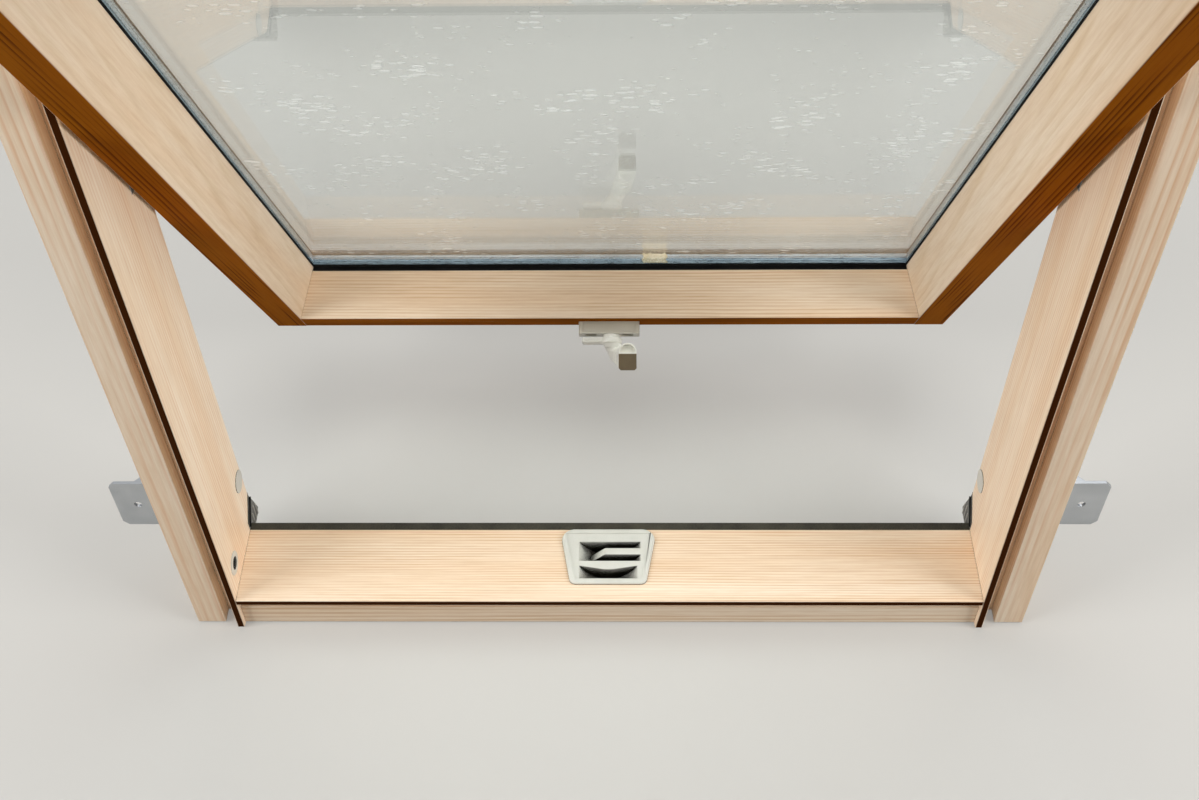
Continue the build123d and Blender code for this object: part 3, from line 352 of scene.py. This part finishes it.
def paintedHollowShade(material, shader, coords, skin, hollow):
    # Painted shade in recesses: tone is its colour, reach how wide the recesses may be in mm,
    # and level the height in metres below which it begins
    openness = addNode(material, "AmbientOcclusion", samples=6, Distance=hollow["reach"] * mm)
    deep = addNode(material, "MapRange", {"Value": openness.outputs["AO"]},
                   From_Min=0.62, From_Max=0.47)
    height = addNode(material, "SeparateXYZ", {"Vector": coords.outputs["Object"]})
    below = addNode(material, "MapRange", {"Value": height.outputs["Z"]},
                    From_Min=hollow["level"], From_Max=hollow["level"] - 0.6 * mm)
    share = addNode(material, "Math", {0: deep.outputs["Result"], 1: below.outputs["Result"]},
                    operation="MULTIPLY")
    hollowShaded = addNode(material, "MixRGB", {"Fac": share.outputs["Value"], "Color1": skin},
                      Color2=linear(hollow["tone"]))
    # Where shade is painted in a hollow, its specular is turned down too
    specular = shader.inputs["Specular IOR Level"]
    dull = addNode(material, "MapRange", {"Value": share.outputs["Value"]},
                   To_Min=specular.default_value, To_Max=0.02)
    join(material, dull.outputs["Result"], specular)
    return hollowShaded.outputs["Color"]


def moulded(name, colour, shade, grit, roughness, relief=0.1, arris=0.4, hollow=None, **fixed):
    # colour and shade are its two tones, grit the size of its texture and arris the round that
    # its edges seem to have, both in mm
    material, shader = newMaterial(name, **fixed)
    coords = addNode(material, "TexCoord")
    grain = addNode(material, "TexNoise", {"Vector": coords.outputs["Object"]},
                    Scale=1 / (grit * mm), Detail=3.0, Roughness=0.6)
    clouds = addNode(material, "TexNoise", {"Vector": coords.outputs["Object"]},
                     Scale=1 / (22 * mm), Detail=2.0)
    mottle = addNode(material, "Math", {0: grain.outputs["Fac"], 1: clouds.outputs["Fac"]},
                     operation="ADD")
    tone = addNode(material, "MapRange", {"Value": mottle.outputs["Value"]},
                   From_Min=0.75, From_Max=1.25)
    tint = addNode(material, "ValToRGB", {"Fac": tone.outputs["Result"]},
                   stops=[(0.0, shade), (1.0, colour)])
    gloss = addNode(material, "MapRange", {"Value": grain.outputs["Fac"]}, From_Min=0.3,
                    From_Max=0.7, To_Min=roughness - 0.06, To_Max=roughness + 0.08)
    edge = addNode(material, "Bevel", samples=4, Radius=arris * mm)
    bump = addNode(material, "Bump", {"Height": grain.outputs["Fac"],
                                      "Normal": edge.outputs["Normal"]},
                   Strength=relief, Distance=0.2 * mm)
    skin = tint.outputs["Color"]
    if hollow:
        skin = paintedHollowShade(material, shader, coords, skin, hollow)
    join(material, skin, shader.inputs["Base Color"])
    join(material, gloss.outputs["Result"], shader.inputs["Roughness"])
    join(material, bump.outputs["Normal"], shader.inputs["Normal"])
    return material


# Foamed strip along the rail: matt, with fine pores that break up its grey
stripFoam = moulded("foamed weather strip, matt grey", "#48453B", "#33312A", 1.6, 0.9, 0.5,
                    Specular_IOR_Level=0.25)
dress(stripFoam, "frame_sill_strip")

# Rubber: nearly black, dull, a little dusty
rubber = moulded("extruded rubber, dusty black", "#141413", "#080808", 1.2, 0.75, 0.2,
                 Specular_IOR_Level=0.12)
dress(rubber, "corner_seal_left", "corner_seal_right", "glazing_gasket", "sash_seal_upper",
      "sash_seal_lower")

# Poured sealant round the panes' edge: black and slightly shiny
sealant = moulded("poured butyl sealant, black", "#101010", "#060606", 3.0, 0.5, 0.3,
                  Specular_IOR_Level=0.15)
dress(sealant, "glass_edge_seal")

# Light grey polyamide with a fine spark-eroded skin; its slots get painted shade below the plate
keepPocket = {
    "tone": "#0B0A04",
    "reach": 26.0,
    "level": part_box("latch_keep")[1][2] - 1.3 * mm,
}
polyamide = moulded("moulded polyamide, light grey", "#E1E1D8", "#D7D7CD", 0.9, 0.45, 0.12, 0.8,
                    keepPocket, Specular_IOR_Level=0.3)
dress(polyamide, "latch_keep")

# Grey polypropylene of the corner pieces and setting blocks: dull, slightly mottled
cornerPlastic = moulded("moulded polypropylene, mid grey", "#77746E", "#5A5853", 1.1, 0.5, 0.2)
dress(cornerPlastic, "corner_tab_left", "corner_tab_right", "setting_block_left",
      "setting_block_right")

# White acetal of caps, sockets and washers: smooth, with painted shade in its bores;
# its level is above all
acetal = moulded("moulded acetal, off-white", "#DAD6CB", "#C8C4BA", 1.0, 0.4, 0.1,
                 hollow={"tone": "#0A0A08", "reach": 22.0, "level": 1.0})
dress(acetal, "screw_cap_left", "screw_cap_right", "bolt_socket_lower", "bolt_socket_upper",
      "hinge_washer_left", "hinge_washer_right")

# Inlay in the grip's end: matt brown-grey thermoplastic
inlay = moulded("moulded rubbery inlay, brown-grey", "#6C5B3F", "#5C4E36", 1.0, 0.6, 0.3)
dress(inlay, "grip_cap")
print("moulded parts done")


# Metals

def sheetMetal(name, colour, shade, metallic, roughness, grain, stretch, relief, **fixed):
    # grain in mm; stretch draws it out along an axis for a rolled or brushed surface
    material, shader = newMaterial(name, Metallic=metallic, **fixed)
    coords = addNode(material, "TexCoord")
    drawn = addNode(material, "Mapping", {"Vector": coords.outputs["Object"]}, Scale=stretch)
    marks = addNode(material, "TexNoise", {"Vector": drawn.outputs["Vector"]},
                    Scale=1 / (grain * mm), Detail=4.0, Roughness=0.6)
    clouds = addNode(material, "TexNoise", {"Vector": coords.outputs["Object"]},
                     Scale=1 / (45 * mm), Detail=2.0)
    tint = addNode(material, "ValToRGB", {"Fac": clouds.outputs["Fac"]},
                   stops=[(0.3, shade), (0.7, colour)])
    gloss = addNode(material, "MapRange", {"Value": marks.outputs["Fac"]}, From_Min=0.3,
                    From_Max=0.7, To_Min=roughness - 0.07, To_Max=roughness + 0.1)
    edge = addNode(material, "Bevel", samples=4, Radius=0.4 * mm)
    bump = addNode(material, "Bump", {"Height": marks.outputs["Fac"],
                                      "Normal": edge.outputs["Normal"]},
                   Strength=relief, Distance=0.1 * mm)
    join(material, tint.outputs["Color"], shader.inputs["Base Color"])
    join(material, gloss.outputs["Result"], shader.inputs["Roughness"])
    join(material, bump.outputs["Normal"], shader.inputs["Normal"])
    return material


# Coil-coated aluminium outside: satin grey paint with a faint orange peel
cladding = sheetMetal("painted aluminium sheet, satin grey", "#4E4C48", "#454340", 0.0, 0.42,
                      1.8, (1, 1, 1), 0.15)
dress(cladding, "frame_sill_cladding", "frame_top_hood", "frame_side_cover_left",
      "frame_side_cover_right", "sash_cladding_left", "sash_cladding_right",
      "sash_cladding_top", "sash_cladding_bottom")

# Zinc-plated steel: bluish, brushed along its length
zinc = sheetMetal("zinc-plated steel, brushed", "#C3C6C9", "#A9ADB1", 1.0, 0.34,
                  0.9, (1, 1, 0.05), 0.2)
dress(zinc, "bracket_upper_left", "bracket_upper_right", "bracket_lower_left",
      "bracket_lower_right", "frame_hinge_left", "frame_hinge_right", "sash_hinge_left",
      "sash_hinge_right", "bolt_guide", "cleaning_bolt", "handle_screw_left",
      "handle_screw_right")

# Rolled aluminium of the spacer: bright, drawn out along the pane's edge
rolled = sheetMetal("rolled aluminium, bright", "#C8DAE6", "#B2C6D3", 1.0, 0.28,
                    1.2, (0.1, 1, 1), 0.05)
dress(rolled, "glass_spacer")

# Lacquered zinc casting of the handle: warm light grey, nearly satin
casting = sheetMetal("lacquered zinc casting, pearl grey", "#D6D2C2", "#C6C1B0", 0.0, 0.33,
                     1.5, (1, 1, 1), 0.08, Coat_Weight=0.4, Coat_Roughness=0.15)
dress(casting, "handle_base")
# The lever's lacquer is whiter and glossier, polished by hands
leverCasting = sheetMetal("lacquered zinc casting, pearl white", "#F6F5EC", "#EAE8DD", 0.0, 0.3,
                          1.5, (1, 1, 1), 0.08, Coat_Weight=0.5, Coat_Roughness=0.12)
print("metals done")


# Glass: float glass, clear, with dried water marks on it

glassLook = {
    "tint": "#FBFDFC",
    "drop": 7.0,  # mm between dried drops, drawn out along X as wiped
    "flatten": 0.42,  # their height as a share of their length
    "slant": 0.12,  # radians, the way they were wiped
    "veil": 70.0,  # mm, patches in which they stand close
    "lime": "#F4F4F0",  # what the water left behind
    "film": 0.8,  # how much of the light that film scatters
}


def floatGlass(name, marked):
    material, shader = newMaterial(name, Transmission_Weight=1.0, IOR=1.5, Roughness=0.0)
    shader.inputs["Base Color"].default_value = linear(glassLook["tint"])
    pane = shader.outputs["BSDF"]
    if marked:
        coords = addNode(material, "TexCoord")
        wiped = addNode(material, "Mapping", {"Vector": coords.outputs["Object"]},
                        Rotation=(0, glassLook["slant"], 0),
                        Scale=(glassLook["flatten"], 1.0, 1.0))
        spots = addNode(material, "TexVoronoi", {"Vector": wiped.outputs["Vector"]},
                        Scale=1 / (glassLook["drop"] * mm), Randomness=1.0)
        veil = addNode(material, "TexNoise", {"Vector": coords.outputs["Object"]},
                       Scale=1 / (glassLook["veil"] * mm), Detail=4.0, Roughness=0.6)
        shrink = addNode(material, "MapRange", {"Value": veil.outputs["Fac"]},
                         From_Min=0.42, From_Max=0.62, To_Min=0.3, To_Max=0.0)
        reach = addNode(material, "Math", {0: spots.outputs["Distance"],
                                           1: shrink.outputs["Result"]}, operation="ADD")
        drops = addNode(material, "MapRange", {"Value": reach.outputs["Value"]},
                        From_Min=0.36, From_Max=0.24, interpolation_type="SMOOTHSTEP")
        bump = addNode(material, "Bump", {"Height": drops.outputs["Result"]},
                       Strength=0.12, Distance=0.3 * mm)
        join(material, bump.outputs["Normal"], shader.inputs["Normal"])
        lime = addNode(material, "BsdfTranslucent")
        lime.inputs["Color"].default_value = linear(glassLook["lime"])
        film = addNode(material, "Math", {0: drops.outputs["Result"]}, operation="MULTIPLY")
        film.inputs[1].default_value = glassLook["film"]
        marks = addNode(material, "MixShader", {0: film.outputs["Value"], 1: shader.outputs["BSDF"],
                                                2: lime.outputs["BSDF"]})
        pane = marks.outputs["Shader"]
    # Light passes straight through to what lies behind, so the pane throws no dark shadow
    path = addNode(material, "LightPath")
    through = addNode(material, "BsdfTransparent")
    through.inputs["Color"].default_value = linear(glassLook["tint"])
    mix = addNode(material, "MixShader", {0: path.outputs["Is Shadow Ray"],
                                          1: pane, 2: through.outputs["BSDF"]})
    output = material.node_tree.nodes["Material Output"]
    join(material, mix.outputs["Shader"], output.inputs["Surface"])
    return material


dress(floatGlass("float glass, clear", False), "glass_inner_pane")
dress(floatGlass("float glass, clear, with water marks", True), "glass_outer_pane")
print("glass done")


# Handle lever and keep with the small rounds of castings and mouldings
roundedCopy("handle_lever", 0.9, "handle", leverCasting)
roundedCopy("latch_keep", 0.8, "frame", polyamide)

# Spacer: two beads rolled into its face, and the tape over its joint
spacer = {
    "beads": (0.3, 0.7),  # where they run across its width
    "beadWidth": 1.1,  # mm
    "beadHeight": 0.5,
    "butyl": 0.9,  # mm of black butyl squeezed out along the outer pane
    "height": 7.5,  # mm from the pane's edge to the spacer's face
    "bevel": 0.4,  # a bead's bevel as a share of its height
}


def spacerRing(name, middle, width, height, material):
    # A low bead all round the spacer's face; middle is its place across the pane's edge, in mm
    low, high = spacerBox
    both = spacer["height"] * 2
    shape = bmesh.new()
    made = bmesh.ops.create_grid(shape, x_segments=1, y_segments=1, size=0.5)["verts"]
    bmesh.ops.scale(shape, vec=(high.x - low.x - both, high.z - low.z - both, 1), verts=made)
    bmesh.ops.rotate(shape, cent=(0, 0, 0), matrix=Matrix.Rotation(pi / 2, 3, "X"), verts=made)
    bmesh.ops.translate(shape, vec=(0, middle - width / 2, (low.z + high.z) / 2), verts=made)
    pane = shape.faces[:]
    ring = bmesh.ops.inset_region(shape, faces=pane, thickness=height, use_boundary=True,
                                  use_even_offset=True)["faces"]
    bmesh.ops.delete(shape, geom=pane, context="FACES")
    grown = bmesh.ops.extrude_face_region(shape, geom=ring)["geom"]
    bmesh.ops.translate(shape, vec=(0, width, 0),
                        verts=[v for v in grown if isinstance(v, bmesh.types.BMVert)])
    roundEdges(shape, sharpEdges(shape, 60), height * spacer["bevel"])
    openSash(shape)
    addPiece(name, shape, material, "sash", smooth=True)


spacerBox = closedBox("glass_spacer")
inside, outside = spacerBox[0].y, spacerBox[1].y
for i, share in enumerate(spacer["beads"]):
    spacerRing("spacer_bead_" + str(i + 1), inside + (outside - inside) * share,
               spacer["beadWidth"], spacer["beadHeight"], rolled)
spacerRing("spacer_butyl", outside - spacer["butyl"] / 2, spacer["butyl"], spacer["butyl"],
           sealant)

tape = {
    "start": 34.0,  # mm along X
    "end": 58.0,
    "thickness": 0.25,
    "inset": 0.5,  # mm that it stays off both panes
    "cuts": (0.04, 0.12, 0.2, 0.3, 0.42, 0.55, 0.68, 0.8, 0.9),  # its creases, along it
    "rows": (0.35, 0.65),  # and across it
    "fray": 0.6,  # mm, its sides wave by this much
    "tear": 1.6,  # mm, its torn ends
    "crease": 0.3,  # mm
}


def jointTape():
    low, high = spacerBox
    face = low.z + spacer["height"]
    thick = tape["thickness"] + spacer["beadHeight"]
    length = tape["end"] - tape["start"]
    width = high.y - low.y
    shape = bmesh.new()
    addBlock(shape, (tape["start"], low.y + tape["inset"], face),
             (tape["end"], high.y - tape["inset"], face + thick))
    cuts = [((tape["start"] + length * share, 0, 0), (1, 0, 0)) for share in tape["cuts"]]
    cuts += [((0, low.y + width * share, 0), (0, 1, 0)) for share in tape["rows"]]
    for spot, normal in cuts:
        bmesh.ops.bisect_plane(shape, geom=shape.verts[:] + shape.edges[:] + shape.faces[:],
                               plane_co=spot, plane_no=normal)
    # Torn edges and creases: each cut line is pushed to and fro
    for vert in shape.verts:
        along = (vert.co.x - tape["start"]) / length
        across = (vert.co.y - low.y) / width
        vert.co.y += tape["fray"] * sin(along * 29) * (1 if across > 0.5 else -0.7)
        if along < 0.02 or along > 0.98:
            vert.co.x += tape["tear"] * cos(across * 11)
        if vert.co.z > face + thick / 2:
            vert.co.z += tape["crease"] * (1 + sin(along * 47 + across * 5))
    openSash(shape)
    addPiece("spacer_joint_tape", shape, tapePaper, "sash")


# Paper tape: cream, matt, with a coarse crumpled face
tapePaper = moulded("creased paper tape, cream", "#FFF6E0", "#D8C79C", 1.6, 0.75, 0.8, 0.1)
jointTape()
print("spacer done")

# Corner pieces: ribs moulded on the side that shows in the opening, and a flap of rubber
corner = {
    "face": 345.0,  # mm, X of that side
    "proud": 0.9,
    "sunk": 0.5,
    "ribs": (  # Y of the middle, width, Z of both ends
        (70.5, 1.6, -459.0, -443.0),
        (64.0, 1.2, -458.0, -437.0),
        (57.0, 1.2, -458.0, -441.0),
    ),
    "ribRound": 0.35,
    "flap": (5.0, 29.0),  # mm wide and long
    "flapRound": 0.4,
    "flapPlace": (53.5, -433.5),  # Y and Z of its middle
    "flapTurn": -45.0,  # degrees
}


def cornerDetail(side, name):
    reach = sorted((side * (corner["face"] - corner["proud"]),
                    side * (corner["face"] + corner["sunk"])))
    ribs = bmesh.new()
    for middle, width, low, high in corner["ribs"]:
        addBlock(ribs, (reach[0], middle - width / 2, low), (reach[1], middle + width / 2, high))
    roundEdges(ribs, ribs.edges[:], corner["ribRound"])
    toMetres(ribs)
    addPiece("corner_ribs_" + name, ribs, ribHighlightPlastic, "frame", smooth=True)
    wide, long = corner["flap"]
    flap = bmesh.new()
    addBlock(flap, (reach[0], -wide / 2, -long / 2), (reach[1], wide / 2, long / 2))
    roundEdges(flap, flap.edges[:], corner["flapRound"])
    turn = Matrix.Rotation(radians(corner["flapTurn"]), 3, "X")
    bmesh.ops.rotate(flap, cent=(0, 0, 0), matrix=turn, verts=flap.verts)
    bmesh.ops.translate(flap, vec=(0, *corner["flapPlace"]), verts=flap.verts)
    toMetres(flap)
    addPiece("corner_flap_" + name, flap, rubber, "frame", smooth=True)


# The same plastic as the corner piece, painted paler on its ribs as a highlight
ribHighlightPlastic = moulded("moulded polypropylene, painted highlight", "#C6C1B8", "#A8A399", 0.8, 0.45, 0.2)
for side, name in ((-1, "left"), (1, "right")):
    cornerDetail(side, name)
print("corner pieces done")


def seenDirectly(tree):
    # 1 for rays from the camera, off metal or through glass, 0 for those that carry light
    path = addNode(tree, "LightPath")
    straight = addNode(tree, "Math", {0: path.outputs["Is Camera Ray"],
                                      1: path.outputs["Is Glossy Ray"]}, operation="MAXIMUM")
    seen = addNode(tree, "Math", {0: straight.outputs["Value"],
                                  1: path.outputs["Is Transmission Ray"]}, operation="MAXIMUM")
    return seen.outputs["Value"]


# Floor: matt paper, pale where it is seen, but throwing less light back up
paper = {
    "seen": "#B0AEA9",
    "thrown": "#8A8986",
    "glow": 0.22,  # far from the lamps it still looks pale
    "glowTone": "#FBFAF6",
    "size": 8.0,  # m
    "shift": 3.0,  # m outwards, away from the camera
    "gap": 0.001,  # m below the part
}
floorMaterial, floorShader = newMaterial("studio floor, matt pale paper", Roughness=0.9)
shown = seenDirectly(floorMaterial)
paperTone = addNode(floorMaterial, "MixRGB", {"Fac": shown},
                    Color1=linear(paper["thrown"]), Color2=linear(paper["seen"]))
join(floorMaterial, paperTone.outputs["Color"], floorShader.inputs["Base Color"])
glow = addNode(floorMaterial, "Math", {0: shown}, operation="MULTIPLY")
glow.inputs[1].default_value = paper["glow"]
floorShader.inputs["Emission Color"].default_value = linear(paper["glowTone"])
join(floorMaterial, glow.outputs["Value"], floorShader.inputs["Emission Strength"])
floorMesh = bpy.data.meshes.new("studioFloor")
sheet = bmesh.new()
bmesh.ops.create_grid(sheet, x_segments=2, y_segments=2, size=paper["size"])
bmesh.ops.translate(sheet, vec=(0, paper["shift"], cadBox[0].z - paper["gap"]),
                    verts=sheet.verts)
sheet.to_mesh(floorMesh)
sheet.free()
floor = bpy.data.objects.new("studioFloor", floorMesh)
floor.data.materials.append(floorMaterial)
bpy.context.scene.collection.objects.link(floor)

# Camera, at the photograph's place
view = {
    "place": (15.6, -777.98, 693.74),  # mm
    "down": 49.207,  # degrees below the horizon
    "yaw": -0.0172,
    "roll": -0.0014,
    "focal": 1458.4,  # pixels, for a picture as wide as the next value
    "pictureWidth": 1199,
    "sensor": 36.0,  # mm
}


def setCamera():
    tilt = radians(90.0 - view["down"])
    right = Vector((1, 0, 0))
    forward = Vector((0, sin(tilt), -cos(tilt)))
    up = Vector((0, cos(tilt), sin(tilt)))
    turned = cos(view["yaw"]) * right - sin(view["yaw"]) * forward
    ahead = cos(view["yaw"]) * forward + sin(view["yaw"]) * right
    side = cos(view["roll"]) * turned + sin(view["roll"]) * up
    top = -sin(view["roll"]) * turned + cos(view["roll"]) * up
    basis = Matrix((side, top, -ahead)).transposed().to_4x4()
    data = bpy.data.cameras.new("photoCamera")
    data.sensor_width = view["sensor"]
    data.sensor_fit = "HORIZONTAL"
    data.lens = view["focal"] * view["sensor"] / view["pictureWidth"]
    data.clip_start = 0.01
    camera = bpy.data.objects.new("photoCamera", data)
    camera.matrix_world = Matrix.Translation(Vector(view["place"]) * mm) @ basis
    bpy.context.scene.collection.objects.link(camera)
    bpy.context.scene.camera = camera


setCamera()

# World: a pale studio where it is seen; as a light it is weak
studio = {"tone": "#F4F5F6", "seen": 0.62, "thrown": 0.16}
world = bpy.data.worlds.new("studioWorld")
world.use_nodes = True
backdrop = world.node_tree.nodes["Background"]
backdrop.inputs["Color"].default_value = linear(studio["tone"])
level = addNode(world, "MapRange", {"Value": seenDirectly(world)},
                To_Min=studio["thrown"], To_Max=studio["seen"])
join(world, level.outputs["Result"], backdrop.inputs["Strength"])
bpy.context.scene.world = world

# Lamps: a broad soft one above and outside, and one low on either side of the camera
lamps = {
    # place and target in m, power in W
    "keyLamp": {"place": (0.25, 1.1, 2.6), "target": (0, 0.1, 0), "size": 2.4, "power": 42},
    "leftLamp": {"place": (-2.3, -0.85, 0.85), "target": (0, 0, -0.1), "size": 1.4, "power": 51},
    "rightLamp": {"place": (2.3, -0.85, 0.85), "target": (0, 0, -0.1), "size": 1.4, "power": 51},
}
for name, lamp in lamps.items():
    data = bpy.data.lights.new(name, "AREA")
    data.energy = lamp["power"]
    data.size = lamp["size"]
    light = bpy.data.objects.new(name, data)
    way = Vector(lamp["target"]) - Vector(lamp["place"])
    turn = way.to_track_quat("-Z", "Y").to_matrix().to_4x4()
    light.matrix_world = Matrix.Translation(lamp["place"]) @ turn
    bpy.context.scene.collection.objects.link(light)
bpy.context.scene.view_settings.view_transform = "Standard"
